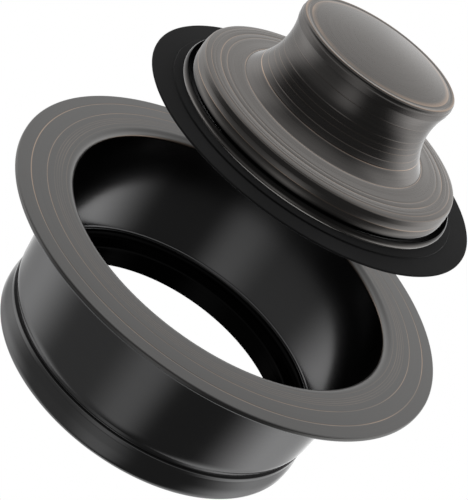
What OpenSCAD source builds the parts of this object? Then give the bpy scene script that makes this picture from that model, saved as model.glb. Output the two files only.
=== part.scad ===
// Sink flange and lift-out stopper of a kitchen waste disposer.
// The flange stands on its lower face: z = 0 there, +Z along its axis.
// Millimetres. Every piece is turned about the Z axis.

/* [Rim] */
// Diameter over the rim, which covers the edge of the sink's outlet
rim_d = 114.3; // [112:0.1:117]
// Thickness of the rim at its edge
rim_t = 1.6; // [1.4:0.1:2]
// How far the crown of the rim stands above its edge
crown_h = 0.4; // [0.2:0.1:0.6]
// Radius of the roll from the rim down into the bowl
mouth_roll = 1.9; // [1.5:0.1:2.2]

/* [Sleeve] */
// Height of the flange from its lower face to the edge of the rim
flange_h = 41.2; // [40:0.1:44]
// Radius of the bowl just under its mouth
mouth_r = 42.6; // [42.5:0.1:43]
// Radius of the bowl just above its seat
bowl_r = 41; // [40.8:0.1:41.2]
// Wall thickness of the sleeve
wall_t = 1.15; // [1:0.05:1.3]
// Radius of the bead under the snap-ring groove
bead_r = 42.35; // [42.2:0.05:42.6]
// Straight length of the bead
bead_len = 1.2; // [1:0.1:1.5]

/* [Seat and throat] */
// Radius of the throat that waste and water fall through
throat_r = 36; // [35:0.1:36.5]
// Height of the throat's lower edge above the lower face
throat_z = 1.9; // [1.5:0.1:2.5]
// Height of the seat's inner edge above the lower face
seat_z = 7.8; // [7.4:0.1:8.2]
// Number of fine ridges turned into the seat
seat_ridges = 5; // [3:1:6]

/* [Stopper] */
// Radius of the round lip at the foot of the disc
lip_r = 35.1; // [34.5:0.1:35.8]
// Radius of the disc's side wall
disc_r = 33.45; // [33:0.05:33.7]
// Radius of the neck where it is slimmest
neck_r = 18.9; // [18:0.1:19.5]
// Radius of the hollow curve between the disc and the knob
neck_curve = 16; // [15:0.5:18]
// Height of the stopper's knob above the flap of its seal
knob_h = 28; // [27.6:0.1:28.4]

/* [Seal] */
// Radius of the rubber flap that closes the bowl
seal_r = 42.05; // [41:0.05:42.1]
// Thickness of the flap
flap_t = 0.8; // [0.6:0.1:1]
// Radius of the raised pad that the disc sits on
pad_r = 36.9; // [36:0.1:38]
// Height of the pad above the flap
pad_h = 0.45; // [0.3:0.05:0.6]

/* [Clamping pieces] */
// Radius of the plate that clamps the seal
plate_r = 24; // [20:0.5:28]
// Thickness of the clamping plate
plate_t = 1.5; // [1.2:0.1:2]
// Radius of the screw's thread, M5
screw_r = 2.45; // [2.4:0.01:2.48]
// Thread length inside the knob
screw_grip = 9; // [7:0.5:12]

/* [Pose] */
// Gap from the rim's edge up to the flap when the stopper is lifted out
lift_h = 34.8; // [30:0.1:60]

/* [Hidden] */
$fn = 128;

STEPS = 8;                      // steps in each arc of a turned outline
CUT = 1;                        // how far a cutting tool runs past a face

// Flange
rim_r = rim_d / 2;
rim_edge_z = flange_h;          // level of the rim's outer edge
rim_under_z = flange_h - rim_t;
rim_round = 0.8;                // round under the rim's edge
rim_bevel = 0.35;               // small bevel on top of the rim's edge
rim_fillet = 1.5;               // fillet between the sleeve and the rim
mouth_z = rim_edge_z + crown_h - mouth_roll;
bowl_z = seat_z + 3.1;          // where the bowl's wall meets the seat's fillet
draft = (mouth_r - bowl_r) / (mouth_z - bowl_z);
bead_round = 2.9;               // round of the bead's lower edge
flank_curve = 14;               // round from the bead into its tapered upper flank
ledge_r = bead_r - 0.45;        // ledge between the flank and the snap-ring groove
groove_z = 8.9;                 // level of the snap-ring groove
groove_r = bead_r - 1;          // floor of the snap-ring groove
sleeve_z = 12.7;                // where the sleeve starts to curve in towards the groove
sleeve_curve = 6.8;             // radius of that curve
foot_r = 39.2;                  // inner edge of the lower face
seat_r = 39.2;                  // outer edge of the seat's ridges
seat_drop = 0.6;                // how far the ridges step down towards the throat
ridge_h = 0.12;                 // height of one ridge
seat_fillet = 1.6;              // fillet between the bowl's wall and the seat
throat_edge = 0.3;              // bevel on the throat's upper edge
throat_flare = 2.3;             // how far the lower edge opens outwards

// Stopper
seal_z = rim_edge_z + lift_h;   // upper face of the flap
flap_z = seal_z - flap_t;       // lower face of the flap
foot_z = seal_z + pad_h;        // lower face of the stopper's disc
knob_z = seal_z + knob_h;       // top of the knob
lip_round = 1.2;                // round of the lip at the foot of the disc
wall_z = seal_z + 3.57;          // lower end of the disc's straight side wall
hollow_curve = 3.1;             // radius of the hollow between the wall and the lip
bevel_z = seal_z + 6;           // where the wall meets the narrow bevel above it
edge_z = seal_z + 6.7;          // centre of the round of the disc's upper edge
edge_round = 0.55;
neck_foot_z = seal_z + 8.15;    // lower end of the hollow curve
neck_mid_z = seal_z + 19;       // level where the neck is slimmest
neck_top_z = seal_z + 24;       // upper end of the hollow curve
knob_edge_r = neck_r + 0.1;     // centre of the round of the knob's edge
knob_round = 0.72;              // round of the knob's edge
dome_r = neck_r - 1.2;          // foot of the dome on top of the knob
dome_h = 1.46;                  // height of the dome
ring_z = knob_z - dome_h;       // foot of the dome
crease_z = ring_z - 1.04;       // fine crease under the knob's edge

// Fasteners
thread_r = 2.5;                 // tapped hole in the knob
hole_r = 2.75;                  // clearance hole for the screw
washer_t = 1.2;
washer_r = 4.6;
washer_split = 0.8;
head_r = 4.75;
head_h = 3.2;
head_round = 1.6;
recess_l = 5;                   // cross recess: length, width and depth of one slot
recess_w = 1;
recess_d = 1.8;
plate_z = flap_z - plate_t;     // lower face of the clamping plate
head_z = plate_z - washer_t;    // bearing face of the screw's head

// Points of an arc about (cx, cz) from angle a0 to a1, in a turned outline
function arc(cx, cz, r, a0, a1, n = STEPS) =
    [for (i = [0:n]) let (a = a0 + (a1 - a0) * i / n) [cx + r * cos(a), cz + r * sin(a)]];

// Radius of the drafted wall at height z, inside and outside
function bowl_wall(z) = bowl_r + draft * (z - bowl_z);
function sleeve_wall(z) = bowl_wall(z) + wall_t;

// Bead: lower face, round lower edge, short straight wall and tapered flank
function bead_outline() =
    concat(
        [[foot_r, 0]],
        arc(bead_r - bead_round, bead_round, bead_round, -90, 0),
        arc(bead_r - flank_curve, bead_round + bead_len, flank_curve, 0, 10)
    );

// Ledge above the flank, the snap-ring groove, and the sleeve curving out from it
function groove_outline() =
    concat(
        [
            [ledge_r + 0.08, groove_z - 1.4],
            [ledge_r, groove_z - 1.3],
            [ledge_r, groove_z - 0.45],
            [ledge_r - 0.1, groove_z - 0.35],
            [groove_r, groove_z - 0.3],
            [groove_r, groove_z + 0.2],
            [groove_r + 0.1, groove_z + 0.4]
        ],
        arc(sleeve_wall(sleeve_z) - sleeve_curve * cos(3), sleeve_z + sleeve_curve * sin(3),
            sleeve_curve, -24, -3)
    );

// Sleeve, its fillet, and the underside and edge of the rim
function rim_outline() =
    let (fillet_z = rim_under_z - rim_fillet)
    concat(
        [[sleeve_wall(fillet_z), fillet_z]],
        arc(sleeve_wall(fillet_z) + rim_fillet, fillet_z, rim_fillet, 180, 90),
        [[rim_r - rim_round, rim_under_z]],
        arc(rim_r - rim_round, rim_under_z + rim_round, rim_round, -90, 0),
        [[rim_r, rim_edge_z - rim_bevel]]
    );

// Low crown on top of the rim, from the outer edge inwards
function crown_outline() =
    let (outer = rim_r - rim_bevel, inner = mouth_r + mouth_roll)
    [for (i = [0:STEPS]) let (t = i / STEPS)
        [outer + (inner - outer) * t, rim_edge_z + crown_h * sin(90 * t)]];

// Roll into the bowl, the bowl's wall, a fine relief line and the fillet above the seat
function bowl_outline() =
    let (relief = 0.25)
    concat(
        arc(mouth_r + mouth_roll, mouth_z, mouth_roll, 90, 180),
        [[bowl_r, bowl_z], [bowl_r + relief, bowl_z - relief], [bowl_r, bowl_z - 2 * relief]],
        arc(bowl_r - seat_fillet, bowl_z - 0.7, seat_fillet, 0, -80)
    );

// Seat: fine ridges that step down towards the throat
function seat_outline() =
    let (inner = throat_r + throat_edge, outer_z = seat_z + seat_drop)
    [for (i = [0:seat_ridges - 1], k = [0:2]) let (t = (i + k / 3) / seat_ridges)
        [seat_r + (inner - seat_r) * t, outer_z - seat_drop * t + (k == 1 ? ridge_h : 0)]];

// Throat, with a bevel above it and a flared lower edge
function throat_outline() = [
    [throat_r + throat_edge, seat_z],
    [throat_r, seat_z - throat_edge],
    [throat_r, throat_z],
    [throat_r + throat_flare, 0.5]
];

// Flange: rim, drafted sleeve, bead, seat and throat, turned from one piece of brass
module sink_flange() {
    color([0.27, 0.25, 0.24])
    rotate_extrude()
    polygon(concat(
        bead_outline(), groove_outline(), rim_outline(), crown_outline(),
        bowl_outline(), seat_outline(), throat_outline()
    ));
}

// Disc: round foot lip, crease, hollow, side wall, bevel, soft upper edge and gently rising top
function disc_outline() =
    concat(
        [[0, foot_z]],
        arc(lip_r - lip_round, foot_z + lip_round, lip_round, -90, 50),
        arc(disc_r - hollow_curve, wall_z, hollow_curve, -38, 0),
        [[disc_r - 0.1, bevel_z]],
        arc(disc_r - 0.85, edge_z, edge_round, 18, 80),
        [[disc_r - 1.85, seal_z + 7.5], [disc_r - 4.1, seal_z + 7.67], [disc_r - 7.5, seal_z + 7.87]]
    );

// Hollow curve of the neck, from the disc up to the knob
function neck_outline() =
    let (foot_a = 180 + asin((neck_mid_z - neck_foot_z) / neck_curve),
         top_a = 180 - asin((neck_top_z - neck_mid_z) / neck_curve))
    arc(neck_r + neck_curve, neck_mid_z, neck_curve, foot_a, top_a, 3 * STEPS);

// Knob: fine crease, round edge, shallow ring and domed top
function knob_outline() =
    concat(
        [
            [neck_r + 0.93, crease_z - 0.2],
            [neck_r + 0.76, crease_z],
            [neck_r + 0.8, crease_z + 0.2]
        ],
        arc(knob_edge_r, ring_z - 0.64, knob_round, 0, 65),
        [
            [dome_r + 1, ring_z - 0.03],
            [dome_r + 0.7, ring_z - 0.1],
            [dome_r + 0.3, ring_z - 0.04]
        ],
        [for (i = [0:STEPS]) let (t = i / STEPS)
            [dome_r * (1 - t), ring_z + dome_h * (1 - (1 - t) * (1 - t))]]
    );

// Stopper: disc, neck and knob in one turned piece, with a tapped hole from below
module stopper_body() {
    color([0.38, 0.36, 0.34])
    difference() {
        rotate_extrude() polygon(concat(disc_outline(), neck_outline(), knob_outline()));
        translate([0, 0, foot_z - CUT]) cylinder(r = thread_r, h = screw_grip + 2 + CUT);
    }
}

// Seal: thin rubber flap that tapers to its edge, with a raised pad under the disc
module stopper_seal() {
    taper = 4;
    edge_t = 0.5;
    soft = 0.15;
    pad_soft = 0.1;
    color([0.1, 0.1, 0.1])
    difference() {
        rotate_extrude()
        polygon([
            [0, flap_z],
            [seal_r - taper, flap_z],
            [seal_r - soft, seal_z - edge_t],
            [seal_r, seal_z - edge_t + soft],
            [seal_r, seal_z - soft],
            [seal_r - soft, seal_z],
            [pad_r + pad_soft, seal_z],
            [pad_r, seal_z + pad_soft],
            [pad_r, foot_z - pad_soft],
            [pad_r - pad_soft, foot_z],
            [0, foot_z]
        ]);
        translate([0, 0, flap_z - CUT]) cylinder(r = hole_r, h = flap_t + pad_h + 2 * CUT);
    }
}

// Clamping plate: steel disc with its edge turned down, away from the rubber
module clamping_plate() {
    turn = 2;
    color([0.6, 0.6, 0.62])
    difference() {
        rotate_extrude()
        polygon([
            [0, plate_z],
            [plate_r - turn - 0.5, plate_z],
            [plate_r - 0.8, plate_z - 0.6],
            [plate_r - 0.2, plate_z - 0.4],
            [plate_r, plate_z + 0.1],
            [plate_r - 0.6, flap_z - 0.4],
            [plate_r - turn, flap_z],
            [0, flap_z]
        ]);
        translate([0, 0, plate_z - CUT]) cylinder(r = hole_r, h = plate_t + 2 * CUT);
    }
}

// Spring washer: a split ring between the plate and the screw's head
module spring_washer() {
    color([0.5, 0.5, 0.52])
    translate([0, 0, head_z])
    difference() {
        cylinder(r = washer_r, h = washer_t);
        translate([0, 0, -CUT]) cylinder(r = hole_r, h = washer_t + 2 * CUT);
        rotate([0, 0, 20])
        translate([0, -washer_split / 2, -CUT])
        cube([washer_r + CUT, washer_split, washer_t + 2 * CUT]);
    }
}

// Clamping screw: pan head with a cross recess, and its shank up into the knob
module clamping_screw() {
    head_top_z = head_z - head_h;
    face_r = 3;
    face_h = 0.5;
    color([0.62, 0.62, 0.64])
    difference() {
        union() {
            translate([0, 0, head_z]) cylinder(r = screw_r, h = foot_z + screw_grip - head_z);
            rotate_extrude()
            polygon(concat(
                [[0, head_z]],
                [for (a = [0:15:75]) [face_r * sin(a), head_top_z + face_h * (1 - cos(a))]],
                arc(head_r - head_round, head_top_z + 2, head_round, -70, 0),
                [[head_r, head_z]]
            ));
        }
        for (a = [0, 90]) rotate([0, 0, a])
            translate([-recess_l / 2, -recess_w / 2, head_top_z - CUT])
            cube([recess_l, recess_w, recess_d + CUT]);
    }
}

sink_flange();
stopper_body();
stopper_seal();
clamping_plate();
spring_washer();
clamping_screw();
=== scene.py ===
"""Disposer sink flange with its lift-out stopper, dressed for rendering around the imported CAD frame.

Every turned piece is a fine lathe mesh on the outline that the CAD part has, with the scribed rings, bevels
and tool marks that are too small for CAD. Outlines are in millimetres, (radius, height), and run so that the
metal is on their left.
"""

import math

import bpy
import numpy as np
from mathutils import Matrix, Vector


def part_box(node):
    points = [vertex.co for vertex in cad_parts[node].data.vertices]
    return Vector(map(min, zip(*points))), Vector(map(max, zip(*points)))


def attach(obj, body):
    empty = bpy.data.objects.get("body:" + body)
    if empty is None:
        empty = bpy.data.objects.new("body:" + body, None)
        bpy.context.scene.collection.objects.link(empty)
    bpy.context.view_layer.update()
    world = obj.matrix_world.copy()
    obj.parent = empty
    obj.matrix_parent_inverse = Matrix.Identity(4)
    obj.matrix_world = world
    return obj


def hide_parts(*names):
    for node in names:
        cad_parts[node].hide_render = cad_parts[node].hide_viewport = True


MM = 0.001
SEGMENTS = 288                 # flats round a turned piece
HOLD = 0.07                    # mm from a corner to the point that keeps its shading tight
LONGEST = 1.2                  # mm, the longest step along an outline

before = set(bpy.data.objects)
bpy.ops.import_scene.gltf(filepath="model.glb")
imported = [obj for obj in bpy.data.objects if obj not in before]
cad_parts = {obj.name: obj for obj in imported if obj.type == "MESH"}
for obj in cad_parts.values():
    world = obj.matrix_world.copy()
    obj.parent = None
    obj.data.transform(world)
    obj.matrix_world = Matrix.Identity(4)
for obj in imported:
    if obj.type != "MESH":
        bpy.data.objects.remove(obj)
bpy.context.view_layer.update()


# ---------------------------------------------------------------- sizes, from the frame

def top_of(name):
    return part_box(name)[1].z / MM


def foot_of(name):
    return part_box(name)[0].z / MM


def radius_of(name):
    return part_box(name)[1].x / MM


# flange
CROWN_H = 0.4                  # rise of the rim's crown over its edge
MOUTH_ROLL = 1.9               # radius of the roll from the rim into the bowl
RIM_R = radius_of("sink_flange")
RIM_TOP = top_of("sink_flange")
RIM_EDGE = RIM_TOP - CROWN_H
RIM_UNDER = RIM_EDGE - 1.6
MOUTH_R = 42.6
MOUTH_Z = RIM_TOP - MOUTH_ROLL
BOWL_R = 41.0                  # the bowl's wall at its lower end
BOWL_Z = 10.9
WALL = 1.15
BEAD_R = 42.35
BEAD_ROUND = 2.9
LEDGE_R = BEAD_R - 0.45        # edge between the bead's flank and the snap ring's groove
GROOVE_Z = 8.9
GROOVE_R = BEAD_R - 1
SLEEVE_Z = 12.7                # where the sleeve starts to curve in towards the groove
SLEEVE_CURVE = 6.8
THROAT_R = 36.0
SEAT_Z = 7.8
SEAT_R = 39.2
SEAT_FALL = 0.6                # drop of the seat from its outside to the throat

# stopper; levels that end in _UP are heights above the flap
KNOB_Z = top_of("stopper_body")
FOOT_Z = foot_of("stopper_body")
FLAP_Z = foot_of("stopper_seal")
SEAL_Z = FLAP_Z + 0.8          # upper face of the flap
SEAL_R = radius_of("stopper_seal")
PAD_R = 36.9
LIP_R = radius_of("stopper_body")
LIP_ROUND = 1.2
DISC_R = 33.45                 # the disc's side wall
WALL_UP = 3.57                 # lower end of the side wall
HOLLOW_CURVE = 3.1             # radius of the curve from the side wall in to the crease over the lip
EDGE_UP = 6.7                  # centre of the round of the disc's upper edge
EDGE_ROUND = 0.55
NECK_FOOT_UP = 8.15
NECK_MID_UP = 19.0             # where the neck is slimmest
NECK_TOP_UP = 24
NECK_R = 18.9
NECK_CURVE = 16.0
RING_UP = 26.54                # the ring round the knob's dome
DOME_R = NECK_R - 1.2
KNOB_ROUND = 0.72
HOLE_R = 2.75
THREAD_R = 2.5
THREAD_H = 11.0

# parts under the seal
PLATE_Z = top_of("spring_washer")
PLATE_R = radius_of("clamping_plate")
HEAD_Z = foot_of("spring_washer")
WASHER_R = 4.6


# ---------------------------------------------------------------- outlines

def arc(cx, cz, r, a0, a1, n=14):
    """Points of an arc about (cx, cz), in degrees."""
    angles = [math.radians(a0 + (a1 - a0) * i / n) for i in range(n + 1)]
    return [(cx + r * math.cos(a), cz + r * math.sin(a)) for a in angles]


def bowl_wall(z):
    return BOWL_R + (MOUTH_R - BOWL_R) / (MOUTH_Z - BOWL_Z) * (z - BOWL_Z)


def sleeve_wall(z):
    return bowl_wall(z) + WALL


def thin_out(points, hold=HOLD, longest=LONGEST):
    """The outline with holding points at both ends of each long straight, and no step over `longest`."""
    made = []
    for (r0, z0), (r1, z1) in zip(points, points[1:]):
        length = math.hypot(r1 - r0, z1 - z0)
        if length < 1e-4:
            continue
        stops = [0.0]
        if length > 4 * hold:
            parts = max(1, math.ceil((length - 2 * hold) / longest))
            stops += [(hold + (length - 2 * hold) * i / parts) / length for i in range(parts + 1)]
        made += [(r0 + (r1 - r0) * t, z0 + (z1 - z0) * t) for t in stops]
    return made + [points[-1]]


class Outline:
    """An outline with a copper share and a material number at each of its points.

    A share above 0 is finish rubbed through to copper; one below 0 is painted shade, darkening the finish
    towards black.
    """

    def __init__(self, sections):
        self.points, self.copper, self.slots = [], [], []
        for slot, points in sections:
            if self.points:
                points = [self.points[-1]] + list(points)
            fine = thin_out(points)
            if self.points:
                fine = fine[1:]
            self.points += fine
            self.copper += [0.0] * len(fine)
            self.slots += [slot] * len(fine)

    def lengths(self):
        steps = [math.dist(a, b) for a, b in zip(self.points, self.points[1:])]
        return np.concatenate([[0.0], np.cumsum(steps)])

    def at(self, s, lengths):
        """Point, unit direction and index of the step at length s."""
        i = int(np.clip(np.searchsorted(lengths, s) - 1, 0, len(lengths) - 2))
        (r0, z0), (r1, z1) = self.points[i], self.points[i + 1]
        span = lengths[i + 1] - lengths[i]
        t = (s - lengths[i]) / span
        return (r0 + (r1 - r0) * t, z0 + (z1 - z0) * t), ((r1 - r0) / span, (z1 - z0) / span), i

    def scribe(self, r, z, width, depth, copper):
        """Cuts a fine ring into the outline at its closest point to (r, z)."""
        lengths = self.lengths()
        best, where = 1e9, 0.0
        for i, ((r0, z0), (r1, z1)) in enumerate(zip(self.points, self.points[1:])):
            dr, dz = r1 - r0, z1 - z0
            t = min(1.0, max(0.0, ((r - r0) * dr + (z - z0) * dz) / (dr * dr + dz * dz)))
            off = math.hypot(r0 + dr * t - r, z0 + dz * t - z)
            if off < best:
                best, where = off, lengths[i] + t * (lengths[i + 1] - lengths[i])
        low, high = where - width / 2, where + width / 2
        cut = []
        for s, down, share in ((low, 0, 0), (low + 0.3 * width, depth, copper),
                               (high - 0.3 * width, depth, copper), (high, 0, 0)):
            (pr, pz), (dr, dz), i = self.at(s, lengths)
            cut.append(((pr - dz * down, pz + dr * down), share, self.slots[i]))
        before = [i for i, s in enumerate(lengths) if s < low - 1e-3]
        after = [i for i, s in enumerate(lengths) if s > high + 1e-3]
        self.copper = [self.copper[i] for i in before] + [c[1] for c in cut] + [self.copper[i] for i in after]
        self.slots = [self.slots[i] for i in before] + [c[2] for c in cut] + [self.slots[i] for i in after]
        self.points = [self.points[i] for i in before] + [c[0] for c in cut] + [self.points[i] for i in after]

    def paint_shade(self, low, high, reach, amount):
        """Paints shade between two levels, darkening the finish towards black and fading out over `reach`
        above and below them.
        """
        for i, (r, z) in enumerate(self.points):
            near = 1.0 - max(0.0, low - z, z - high) / reach
            if near > 0.0 and self.copper[i] <= 0.0:
                self.copper[i] = min(self.copper[i], -amount * near)

    def tint(self, r, z, reach, copper):
        """Rubs the finish through to copper within `reach` of (r, z)."""
        for i, point in enumerate(self.points):
            near = 1.0 - math.dist(point, (r, z)) / reach
            if near > 0.0:
                self.copper[i] = max(self.copper[i], copper * near)


# ---------------------------------------------------------------- meshes

def lathe(name, outline, body, replaced, materials, closed=False, start=0.0, sweep=360.0):
    """Turns the outline about the Z axis. A closed outline is a ring; a sweep under 360 is capped."""
    points = np.array(outline.points)
    count = len(points)
    full = sweep >= 360.0
    columns = SEGMENTS if full else SEGMENTS + 1
    theta = np.radians(start + sweep * np.arange(columns) / SEGMENTS)
    s = outline.lengths()
    poles = [] if closed else [j for j in (0, count - 1) if points[j, 0] < 1e-6]
    rings = [j for j in range(count) if j not in poles]
    index = -np.ones((count, columns), int)
    co, lathed, copper = [], [], []
    for j in rings:
        index[j] = np.arange(columns) + len(co)
        co += [(points[j, 0] * math.cos(t) * MM, points[j, 0] * math.sin(t) * MM, points[j, 1] * MM)
               for t in theta]
        lathed += [(s[j], math.cos(t), math.sin(t)) for t in theta]
        copper += [outline.copper[j]] * columns
    for j in poles:
        index[j] = len(co)
        co.append((0.0, 0.0, points[j, 1] * MM))
        lathed.append((s[j], 1.0, 0.0))
        copper.append(outline.copper[j])
    faces, numbers = [], []
    steps = [(j, j + 1) for j in range(count - 1)] + ([(count - 1, 0)] if closed else [])
    for j, k in steps:
        for i in range(columns if full else columns - 1):
            n = (i + 1) % columns
            corners = [index[j, i], index[j, n], index[k, n], index[k, i]]
            faces.append(list(dict.fromkeys(int(c) for c in corners)))
            numbers.append(outline.slots[k])
    if not full:
        faces.append([int(index[j, 0]) for j in range(count)])
        faces.append([int(index[j, columns - 1]) for j in reversed(range(count))])
        numbers += [outline.slots[0]] * 2
    mesh = bpy.data.meshes.new(name)
    mesh.from_pydata(co, [], faces)
    mesh.attributes.new("lathed", "FLOAT_VECTOR", "POINT").data.foreach_set("vector", np.ravel(lathed))
    # the copper attribute holds copper wear above 0 and painted shade below 0
    mesh.attributes.new("copper", "FLOAT", "POINT").data.foreach_set("value", copper)
    for material in materials:
        mesh.materials.append(material)
    mesh.polygons.foreach_set("material_index", numbers)
    mesh.shade_smooth()
    mesh.set_sharp_from_angle(angle=math.radians(38))
    mesh.update()
    piece = bpy.data.objects.new(name, mesh)
    bpy.context.scene.collection.objects.link(piece)
    piece.visible_glossy = body != "stopper"
    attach(piece, body)
    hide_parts(replaced)
    return piece


# ---------------------------------------------------------------- colours

SATIN_DARK = (0.143, 0.141, 0.139, 1.0)
SATIN_LIGHT = (0.151, 0.149, 0.146, 1.0)
NECK_DARK = (0.128, 0.122, 0.118, 1.0)
NECK_LIGHT = (0.154, 0.146, 0.140, 1.0)
WARM_DARK = (0.160, 0.152, 0.145, 1.0)
WARM_LIGHT = (0.176, 0.167, 0.160, 1.0)
GLOSS_DARK = (0.130, 0.130, 0.131, 1.0)
GLOSS_LIGHT = (0.136, 0.136, 0.137, 1.0)
COPPER = (0.42, 0.32, 0.25, 1.0)
# painted shade: near-black tones for the bowl's floor, seat and throat, and the colour that painted shade on
# the stopper's crease blends towards
SHADE_BLACK_DARK = (0.004, 0.004, 0.004, 1.0)
SHADE_BLACK_LIGHT = (0.006, 0.006, 0.006, 1.0)
# painted shade for the hollow between the stopper's disc and its lip
SLOT_SHADE_DARK = (0.005, 0.005, 0.005, 1.0)
SLOT_SHADE_LIGHT = (0.008, 0.008, 0.008, 1.0)
RUBBER_DARK = (0.018, 0.018, 0.0185, 1.0)
RUBBER_LIGHT = (0.023, 0.023, 0.0235, 1.0)


# ---------------------------------------------------------------- nodes and materials

def node(tree, kind, inputs=None, **settings):
    """A new node with its settings and inputs; an input is a value or another node's socket."""
    made = tree.nodes.new(kind)
    for key, value in settings.items():
        setattr(made, key, value)
    for key, value in (inputs or {}).items():
        if isinstance(value, bpy.types.NodeSocket):
            tree.links.new(value, made.inputs[key])
        else:
            made.inputs[key].default_value = value
    return made


def calc(tree, operation, *values):
    """The result of a Math node."""
    return node(tree, "ShaderNodeMath", dict(enumerate(values)), operation=operation).outputs[0]


def spread(tree, value, low, high, to_low=0.0, to_high=1.0):
    """Takes value from low..high to to_low..to_high, smoothly and clamped."""
    inputs = {"Value": value, "From Min": low, "From Max": high, "To Min": to_low, "To Max": to_high}
    return node(tree, "ShaderNodeMapRange", inputs, interpolation_type="SMOOTHSTEP").outputs[0]


def blend_colours(tree, share, first, second):
    """A colour between two others."""
    made = node(tree, "ShaderNodeMix", data_type="RGBA")
    for key, value in ((0, share), (6, first), (7, second)):
        if isinstance(value, bpy.types.NodeSocket):
            tree.links.new(value, made.inputs[key])
        else:
            made.inputs[key].default_value = value
    return made.outputs[2]


def shader_tree(name):
    """A new material's node tree, with only its output and a Principled shader."""
    material = bpy.data.materials.new(name)
    material.use_nodes = True
    tree = material.node_tree
    tree.nodes.clear()
    shader = node(tree, "ShaderNodeBsdfPrincipled")
    out = node(tree, "ShaderNodeOutputMaterial")
    tree.links.new(shader.outputs[0], out.inputs[0])
    return material, tree, shader


def turned_noise(tree, along, around, detail=3.0):
    """Noise drawn out round the axis: `along` is its pitch per mm of outline, `around` with angle."""
    where = node(tree, "ShaderNodeAttribute", attribute_name="lathed").outputs["Vector"]
    scaled = node(tree, "ShaderNodeVectorMath", {0: where, 1: (along, around, around)}, operation="MULTIPLY")
    inputs = {"Vector": scaled.outputs[0], "Scale": 1.0, "Detail": detail, "Roughness": 0.6}
    return node(tree, "ShaderNodeTexNoise", inputs).outputs[0]


def bronze(name, dark, light, copper, roughness, brush, edge):
    """Oil-rubbed bronze: a dark metal with turned brush lines, rubbed to copper in places, with painted shade
    darkening it to black in others.

    `brush` is how far the brush lines change the roughness, `edge` the tint of its shine at a low angle.
    """
    material, tree, shader = shader_tree(name)
    fine = turned_noise(tree, 9.0, 0.9)
    coarse = turned_noise(tree, 1.6, 0.5, detail=2.0)
    patch = turned_noise(tree, 0.35, 1.6, detail=2.0)
    streak = calc(tree, "ADD", calc(tree, "MULTIPLY", fine, 0.75), calc(tree, "MULTIPLY", coarse, 0.25))
    tone = blend_colours(tree, spread(tree, streak, 0.36, 0.64), dark, light)
    share = node(tree, "ShaderNodeAttribute", attribute_name="copper").outputs["Fac"]
    # a share below 0 is painted shade, blending the tone towards black
    shade_share = calc(tree, "MAXIMUM", calc(tree, "MULTIPLY", share, -1.0), 0.0)
    tone = blend_colours(tree, shade_share, tone, SHADE_BLACK_LIGHT)
    rubbed = calc(tree, "MAXIMUM", share, 0.0)
    worn = calc(tree, "MULTIPLY", rubbed, spread(tree, patch, 0.3, 0.62, 0.35, 1.0))
    colour = blend_colours(tree, worn, tone, copper)
    tree.links.new(colour, shader.inputs["Base Color"])
    rough = spread(tree, streak, 0.3, 0.7, roughness - brush * 0.5, roughness + brush * 0.5)
    tree.links.new(rough, shader.inputs["Roughness"])
    depth = 0.0002 * brush
    bump = node(tree, "ShaderNodeBump", {"Height": streak, "Distance": depth, "Strength": 0.35})
    tree.links.new(bump.outputs[0], shader.inputs["Normal"])
    shader.inputs["Metallic"].default_value = 1.0
    shader.inputs["Specular Tint"].default_value = (edge, edge, edge, 1.0)
    return material


def rubber(name):
    """Black moulded rubber, matt, with a fine grain and a little bloom."""
    material, tree, shader = shader_tree(name)
    place = node(tree, "ShaderNodeTexCoord").outputs["Object"]
    grain = node(tree, "ShaderNodeTexNoise", {"Vector": place, "Scale": 5200.0, "Detail": 3.0}).outputs[0]
    bloom = node(tree, "ShaderNodeTexNoise", {"Vector": place, "Scale": 45.0, "Detail": 4.0}).outputs[0]
    tone = blend_colours(tree, spread(tree, bloom, 0.35, 0.7), RUBBER_DARK, RUBBER_LIGHT)
    tree.links.new(tone, shader.inputs["Base Color"])
    tree.links.new(spread(tree, bloom, 0.3, 0.7, 0.78, 0.86), shader.inputs["Roughness"])
    bump = node(tree, "ShaderNodeBump", {"Height": grain, "Distance": 0.00003, "Strength": 0.3})
    tree.links.new(bump.outputs[0], shader.inputs["Normal"])
    shader.inputs["Specular IOR Level"].default_value = 0.12
    return material


def steel(name, dark, light, roughness, from_object=False):
    """Brushed steel, with turned lines on the lathe pieces and a plain grain on the others."""
    material, tree, shader = shader_tree(name)
    if from_object:
        place = node(tree, "ShaderNodeTexCoord").outputs["Object"]
        inputs = {"Vector": place, "Scale": 1800.0, "Detail": 4.0}
        streak = node(tree, "ShaderNodeTexNoise", inputs).outputs[0]
    else:
        streak = turned_noise(tree, 6.0, 1.5)
    tone = blend_colours(tree, spread(tree, streak, 0.35, 0.65), dark, light)
    tree.links.new(tone, shader.inputs["Base Color"])
    rough = spread(tree, streak, 0.3, 0.7, roughness - 0.06, roughness + 0.06)
    tree.links.new(rough, shader.inputs["Roughness"])
    bump = node(tree, "ShaderNodeBump", {"Height": streak, "Distance": 0.00002, "Strength": 0.4})
    tree.links.new(bump.outputs[0], shader.inputs["Normal"])
    shader.inputs["Metallic"].default_value = 1.0
    return material


satin = bronze("bronze_satin", SATIN_DARK, SATIN_LIGHT, COPPER, 0.30, 0.03, 0.55)
gloss = bronze("bronze_gloss", GLOSS_DARK, GLOSS_LIGHT, COPPER, 0.17, 0.02, 0.5)
turned = bronze("bronze_turned", NECK_DARK, NECK_LIGHT, COPPER, 0.24, 0.06, 0.6)
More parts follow.
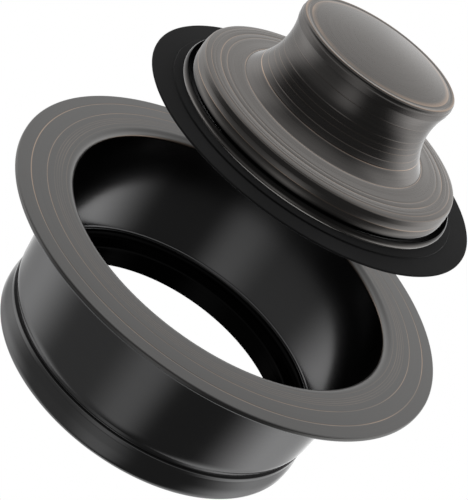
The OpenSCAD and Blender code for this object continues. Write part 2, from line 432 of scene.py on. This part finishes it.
# near-black copies of the bronze: painted shade in the bowl's seat and throat, and in the hollow over the
# stopper's lip
seat_painted_shade = bronze("bronze_seat_painted_shade", SHADE_BLACK_DARK, SHADE_BLACK_LIGHT, GLOSS_LIGHT, 0.2, 0.02, 0.3)
slot_painted_shade = bronze("bronze_slot_painted_shade", SLOT_SHADE_DARK, SLOT_SHADE_LIGHT, COPPER, 0.6, 0.02, 0.3)
dome_bronze = bronze("bronze_dome", WARM_DARK, WARM_LIGHT, COPPER, 0.28, 0.02, 0.6)
black_rubber = rubber("seal_rubber")
plate_steel = steel("plate_steel", (0.45, 0.45, 0.46, 1), (0.6, 0.6, 0.61, 1), 0.3)
washer_steel = steel("washer_steel", (0.36, 0.36, 0.37, 1), (0.48, 0.48, 0.49, 1), 0.34)
screw_steel = steel("screw_steel", (0.5, 0.5, 0.51, 1), (0.64, 0.64, 0.65, 1), 0.28, from_object=True)


# ---------------------------------------------------------------- pieces

# material numbers: the flange has SATIN, GLOSS and painted shade, the stopper's body TURNED, WARM and painted
# shade; painted shade is a near-black copy of the bronze where shade falls
SATIN, GLOSS, PAINTED_SHADE = 0, 1, 2
TURNED, WARM = 0, 1


def crown(n=40):
    """The rim's top, rising as a quarter sine from its edge to the roll."""
    outer, inner = RIM_R - 0.35, MOUTH_R + MOUTH_ROLL
    return [(outer + (inner - outer) * i / n, RIM_EDGE + CROWN_H * math.sin(math.pi / 2 * i / n))
            for i in range(n + 1)]


def seat(ridges=5):
    """The seat inside the bowl, falling towards the throat in fine ridges."""
    inner = THROAT_R + 0.3
    height = 0.16
    made = []
    for i in range(ridges):
        for k, lift in ((0.0, 0.0), (0.2, 0.0), (0.4, height), (0.6, height), (0.8, 0.0)):
            t = (i + k) / ridges
            made.append((SEAT_R + (inner - SEAT_R) * t, SEAT_Z + SEAT_FALL * (1 - t) + lift))
    return made


def sleeve_foot():
    """The sleeve's outside curving in to the groove, from the groove upwards."""
    top = math.radians(3)
    centre_r = sleeve_wall(SLEEVE_Z) - SLEEVE_CURVE * math.cos(top)
    centre_z = SLEEVE_Z + SLEEVE_CURVE * math.sin(top)
    return arc(centre_r, centre_z, SLEEVE_CURVE, -24, -3)


def make_flange():
    fillet = 1.5
    fillet_z = RIM_UNDER - fillet
    lower_edge, upper_edge = 0.8, 0.3     # rounds of the rim's edge
    flank_curve = 13
    roll_r = MOUTH_R + MOUTH_ROLL
    floor_curve = 1.6
    floor_r, floor_z = BOWL_R - floor_curve, BOWL_Z - 0.7
    outline = Outline([
        (GLOSS, [(SEAT_R, 0.0)]
            + arc(BEAD_R - BEAD_ROUND, BEAD_ROUND, BEAD_ROUND, -90, 0, 20)
            + arc(BEAD_R - flank_curve, BEAD_ROUND + 0.7, flank_curve, 0, 8)
            + [(LEDGE_R + 0.03, GROOVE_Z - 1.4), (LEDGE_R, GROOVE_Z - 1.3),
               (LEDGE_R, GROOVE_Z - 0.45), (LEDGE_R - 0.1, GROOVE_Z - 0.35),
               (GROOVE_R, GROOVE_Z - 0.3), (GROOVE_R, GROOVE_Z + 0.2), (GROOVE_R + 0.1, GROOVE_Z + 0.4)]
            + sleeve_foot()
            + [(sleeve_wall(fillet_z), fillet_z)]
            + arc(sleeve_wall(fillet_z) + fillet, fillet_z, fillet, 180, 90)
            + [(RIM_R - lower_edge, RIM_UNDER)]
            + arc(RIM_R - lower_edge, RIM_UNDER + lower_edge, lower_edge, -90, 0)),
        (SATIN, [(RIM_R, RIM_EDGE - upper_edge)]
            + arc(RIM_R - upper_edge, RIM_EDGE - upper_edge, upper_edge, 0, 80, 6)
            + crown()
            + arc(roll_r, MOUTH_Z, MOUTH_ROLL, 90, 156, 12)),
        (GLOSS, arc(roll_r, MOUTH_Z, MOUTH_ROLL, 156, 180, 8)
            + [(BOWL_R, BOWL_Z), (BOWL_R + 0.25, BOWL_Z - 0.25), (BOWL_R, BOWL_Z - 0.5)]
            + arc(floor_r, floor_z, floor_curve, 0, -20, 4)),
        # the bowl's floor, seat and throat take painted shade, a near-black copy of the bronze
        (PAINTED_SHADE, arc(floor_r, floor_z, floor_curve, -20, -80, 10)
            + seat()
            + [(THROAT_R + 0.3, SEAT_Z), (THROAT_R, SEAT_Z - 0.3), (THROAT_R, 1.9)]),
        (GLOSS, [(THROAT_R + 2.3, 0.5)]),
    ])
    # rings scribed into the rim's top, from the outside inwards: radius, width, depth, copper
    for r, width, depth, copper in (
            (53.7, 0.30, 0.04, 0.85), (49.8, 0.26, 0.035, 0.6), (48.0, 0.2, 0.02, 0.22),
            (47.4, 0.2, 0.02, 0.25), (46.8, 0.2, 0.02, 0.2), (46.2, 0.2, 0.02, 0.3), (45.0, 0.2, 0.02, 0.2)):
        outline.scribe(r, RIM_EDGE + 0.3, width, depth, copper)
    outline.tint(MOUTH_R + 0.1, RIM_EDGE - 0.87, 0.35, 0.9)
    return lathe("sink_flange_turned", outline, "flange", "sink_flange",
                 [satin, gloss, seat_painted_shade], closed=True)


def neck():
    """The neck's hollow curve, from the disc up to the knob."""
    foot = 180 + math.degrees(math.asin((NECK_MID_UP - NECK_FOOT_UP) / NECK_CURVE))
    top = 180 - math.degrees(math.asin((NECK_TOP_UP - NECK_MID_UP) / NECK_CURVE))
    return arc(NECK_R + NECK_CURVE, SEAL_Z + NECK_MID_UP, NECK_CURVE, foot, top, 48)


def dome(n=16):
    """The knob's top, a parabola from its ring to the middle."""
    ring_z = SEAL_Z + RING_UP
    return [(DOME_R * (1 - i / n), ring_z + (KNOB_Z - ring_z) * (1 - (1 - i / n) ** 2)) for i in range(n + 1)]


def make_stopper():
    ring_z = SEAL_Z + RING_UP
    lip_r, lip_z = LIP_R - LIP_ROUND, FOOT_Z + LIP_ROUND
    hollow_r, hollow_z = DISC_R - HOLLOW_CURVE, SEAL_Z + WALL_UP
    outline = Outline([
        (TURNED, [(0.0, FOOT_Z + THREAD_H), (THREAD_R, FOOT_Z + THREAD_H), (THREAD_R, FOOT_Z)]),
        (WARM, arc(lip_r, lip_z, LIP_ROUND, -90, 50)),
        # the hollow over the lip takes painted shade, a near-black copy of the bronze
        (PAINTED_SHADE, arc(lip_r, lip_z, LIP_ROUND, 50, 56)
            + arc(hollow_r, hollow_z, HOLLOW_CURVE, -38, -20)),
        (WARM, arc(hollow_r, hollow_z, HOLLOW_CURVE, -20, 0)
            + [(DISC_R, SEAL_Z + 4.76), (DISC_R - 0.1, SEAL_Z + 6)]
            + arc(DISC_R - 0.3 - EDGE_ROUND, SEAL_Z + EDGE_UP, EDGE_ROUND, 18, 80)
            + [(DISC_R - 1.85, SEAL_Z + 7.5), (DISC_R - 4.1, SEAL_Z + 7.67), (DISC_R - 7.5, SEAL_Z + 7.87),
               (23.3, SEAL_Z + NECK_FOOT_UP)]),
        (TURNED, neck()
            + [(NECK_R + 0.93, SEAL_Z + 25.3), (NECK_R + 0.76, SEAL_Z + 25.5), (NECK_R + 0.8, SEAL_Z + 25.7)]
            + arc(NECK_R + 0.1, ring_z - 0.64, KNOB_ROUND, 0, 65)),
        (WARM, [(DOME_R + 1, ring_z - 0.03), (DOME_R + 0.7, ring_z - 0.1), (DOME_R + 0.3, ring_z - 0.04)]
            + dome()),
    ])
    # scribed rings: radius, height above the flap, width, depth, copper
    for r, z, width, depth, copper in (
            (33.45, 4.76, 0.26, 0.03, 0.8), (32.9, 7.18, 0.2, 0.02, 0.3), (31.6, 7.5, 0.26, 0.03, 0.45),
            (30.7, 7.57, 0.14, 0.015, 0.15), (29.35, 7.67, 0.26, 0.03, 0.7), (27.8, 7.76, 0.22, 0.025, 0.5),
            (23.45, 8.15, 0.24, 0.03, 0.8), (20.7, 10.85, 0.26, 0.03, 1.0),
            (19.9, 12.4, 0.18, 0.02, 0.3), (19.4, 14.1, 0.18, 0.02, 0.35), (19.15, 15.4, 0.16, 0.02, 0.25),
            (19.0, 17.0, 0.16, 0.02, 0.25), (18.95, 20.6, 0.16, 0.02, 0.2)):
        outline.scribe(r, SEAL_Z + z, width, depth, copper)
    # painted shade on the stopper's lip and the crease over it, fading out above and below
    outline.paint_shade(SEAL_Z + 2.42, SEAL_Z + 2.6, 0.9, 0.97)
    outline.tint(NECK_R + 0.4, ring_z + 0.02, 0.25, 0.9)
    outline.tint(DOME_R, ring_z, 0.25, 0.9)
    return lathe("stopper_body_turned", outline, "stopper", "stopper_body",
                 [turned, dome_bronze, slot_painted_shade])


def make_seal():
    outline = Outline([(0, [
        (HOLE_R, FLAP_Z), (SEAL_R - 4, FLAP_Z), (SEAL_R - 0.15, SEAL_Z - 0.5), (SEAL_R, SEAL_Z - 0.35),
        (SEAL_R, SEAL_Z - 0.15), (SEAL_R - 0.15, SEAL_Z), (PAD_R + 0.1, SEAL_Z), (PAD_R, SEAL_Z + 0.1),
        (PAD_R, FOOT_Z - 0.1), (PAD_R - 0.1, FOOT_Z), (HOLE_R, FOOT_Z)])])
    return lathe("stopper_seal_moulded", outline, "stopper", "stopper_seal", [black_rubber],
                 closed=True)


def make_plate():
    outline = Outline([(0,
        [(HOLE_R, PLATE_Z + 0.15), (HOLE_R + 0.15, PLATE_Z), (PLATE_R - 2.5, PLATE_Z),
         (PLATE_R - 0.8, PLATE_Z - 0.6)]
        + arc(PLATE_R - 0.5, PLATE_Z - 0.15, 0.45, -120, -10, 8)
        + [(PLATE_R, PLATE_Z + 0.1), (PLATE_R - 0.6, FLAP_Z - 0.4), (PLATE_R - 2, FLAP_Z),
           (HOLE_R, FLAP_Z)])])
    return lathe("clamping_plate_pressed", outline, "stopper", "clamping_plate", [plate_steel],
                 closed=True)


def make_washer():
    bevel = 0.15
    outline = Outline([(0, [
        (HOLE_R + bevel, HEAD_Z), (WASHER_R - bevel, HEAD_Z),
        (WASHER_R, HEAD_Z + bevel), (WASHER_R, PLATE_Z - bevel),
        (WASHER_R - bevel, PLATE_Z), (HOLE_R + bevel, PLATE_Z),
        (HOLE_R, PLATE_Z - bevel), (HOLE_R, HEAD_Z + bevel)])])
    return lathe("spring_washer_split", outline, "stopper", "spring_washer", [washer_steel],
                 closed=True, start=26.0, sweep=348.0)


def make_screw():
    """The CAD screw keeps its shape and gets its material."""
    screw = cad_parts["clamping_screw"]
    screw.data.materials.clear()
    screw.data.materials.append(screw_steel)
    screw.visible_glossy = False
    return screw


make_flange()
make_stopper()
make_seal()
make_plate()
make_washer()
make_screw()


# ---------------------------------------------------------------- studio

def make_floor():
    """A plain white floor, seen by the camera only, so that it lies evenly lit under the metal."""
    mesh = bpy.data.meshes.new("floor")
    reach, level = 4.0, -0.0002
    corners = [(-reach, -reach, level), (reach, -reach, level), (reach, reach, level), (-reach, reach, level)]
    mesh.from_pydata(corners, [], [(0, 1, 2, 3)])
    floor = bpy.data.objects.new("floor", mesh)
    bpy.context.scene.collection.objects.link(floor)
    material = bpy.data.materials.new("floor_white")
    material.use_nodes = True
    tree = material.node_tree
    tree.nodes.clear()
    emit = node(tree, "ShaderNodeEmission", {"Color": (1, 1, 1, 1), "Strength": 1.0})
    out = node(tree, "ShaderNodeOutputMaterial")
    tree.links.new(emit.outputs[0], out.inputs[0])
    mesh.materials.append(material)
    floor.visible_glossy = False
    floor.visible_diffuse = False
    floor.visible_shadow = False
    floor.visible_transmission = False
    return floor


def make_world():
    """Soft studio light from direction alone: a bright cyclorama behind, a dark room in front."""
    world = bpy.data.worlds.new("studio")
    bpy.context.scene.world = world
    world.use_nodes = True
    tree = world.node_tree
    tree.nodes.clear()
    direction = node(tree, "ShaderNodeTexCoord").outputs["Generated"]
    axes = node(tree, "ShaderNodeSeparateXYZ", {0: direction})
    azimuth = calc(tree, "ARCTAN2", axes.outputs[0], calc(tree, "MULTIPLY", axes.outputs[1], -1.0))
    turn = calc(tree, "ABSOLUTE", azimuth)
    height = calc(tree, "ARCSINE", axes.outputs[2])

    deg = math.radians

    # behind: brightness against elevation, in degrees
    levels = [(-90, 1.2), (-46, 1.3), (-36, 1.5), (-28, 1.15), (-18, 1.3), (-8, 1.5), (4, 1.7), (12, 1.6),
              (20, 1.34), (28, 1.1), (36, 1.0), (43, 0.62), (52, 0.62), (60, 0.45), (72, 0.15), (90, 0.12)]
    curve = node(tree, "ShaderNodeFloatCurve")
    points = curve.mapping.curves[0].points
    places = [((e + 90) / 180, level / 2) for e, level in levels]
    points[0].location, points[1].location = places[0], places[-1]
    for place in places[1:-1]:
        points.new(*place)
    curve.mapping.update()
    level_in = node(tree, "ShaderNodeMapRange", {"Value": height, "From Min": deg(-90), "From Max": deg(90)})
    tree.links.new(level_in.outputs[0], curve.inputs["Value"])
    right = calc(tree, "MULTIPLY", spread(tree, azimuth, deg(70), deg(130)),
                 spread(tree, height, deg(22), deg(6)))
    back = calc(tree, "MULTIPLY", curve.outputs[0], calc(tree, "MULTIPLY_ADD", right, 0.6, 2.0))

    # in front: a dark room with a soft pool of light below the camera, a paler left side and a paler ceiling
    pool = calc(tree, "MULTIPLY", spread(tree, turn, deg(3), deg(27), 1.0, 0.0),
                spread(tree, height, deg(-12), deg(-24)))
    pool = calc(tree, "MULTIPLY", pool, spread(tree, height, deg(-85), deg(-50)))
    left = calc(tree, "MULTIPLY", spread(tree, azimuth, deg(-8), deg(-24)),
                spread(tree, height, deg(-8), deg(-24)))
    top = calc(tree, "MULTIPLY", spread(tree, height, deg(30), deg(58), 0.0, 0.4),
               spread(tree, height, deg(84), deg(66)))
    front = calc(tree, "MULTIPLY_ADD", pool, 0.42, 0.07)
    front = calc(tree, "MULTIPLY_ADD", left, 0.12, front)
    front = calc(tree, "ADD", front, top)

    # the bright side reaches further forward near the floor and overhead than at eye level
    middle = spread(tree, height, deg(-30), deg(-8))
    overhead = spread(tree, height, deg(14), deg(34))
    start = calc(tree, "MULTIPLY_ADD", middle, deg(14), deg(60))
    start = calc(tree, "MULTIPLY_ADD", overhead, deg(-36), start)
    end = calc(tree, "MULTIPLY_ADD", middle, deg(28), deg(112))
    end = calc(tree, "MULTIPLY_ADD", overhead, deg(-32), end)
    share = spread(tree, turn, start, end)
    level = node(tree, "ShaderNodeMix", {0: share, 2: front, 3: back}, data_type="FLOAT").outputs[0]
    studio = node(tree, "ShaderNodeBackground", {"Color": (1, 1, 1, 1), "Strength": level})
    white = node(tree, "ShaderNodeBackground", {"Color": (1, 1, 1, 1), "Strength": 1.0})
    seen = node(tree, "ShaderNodeLightPath").outputs["Is Camera Ray"]
    mix = node(tree, "ShaderNodeMixShader", {0: seen, 1: studio.outputs[0], 2: white.outputs[0]})
    out = node(tree, "ShaderNodeOutputWorld")
    tree.links.new(mix.outputs[0], out.inputs[0])


def make_camera():
    """Above and in front of the set, rolled so that the set leans to the right in the picture."""
    ahead = Vector((-0.001919, 0.880339, -0.474341)).normalized()
    right = Vector((0.8081, 0.2804, 0.51798))
    right = (right - ahead * right.dot(ahead)).normalized()
    up = right.cross(ahead)
    data = bpy.data.cameras.new("camera")
    data.lens = 105.4
    data.sensor_width = 36.0
    data.clip_start, data.clip_end = 0.01, 20.0
    camera = bpy.data.objects.new("camera", data)
    place = Vector((0.0, -0.30575, (165.25 + RIM_EDGE) * MM))
    axes = Matrix((right, up, -ahead)).transposed()
    camera.matrix_world = Matrix.Translation(place) @ axes.to_4x4()
    bpy.context.scene.collection.objects.link(camera)
    bpy.context.scene.camera = camera


make_floor()
make_world()
make_camera()
bpy.context.scene.view_settings.view_transform = "Standard"
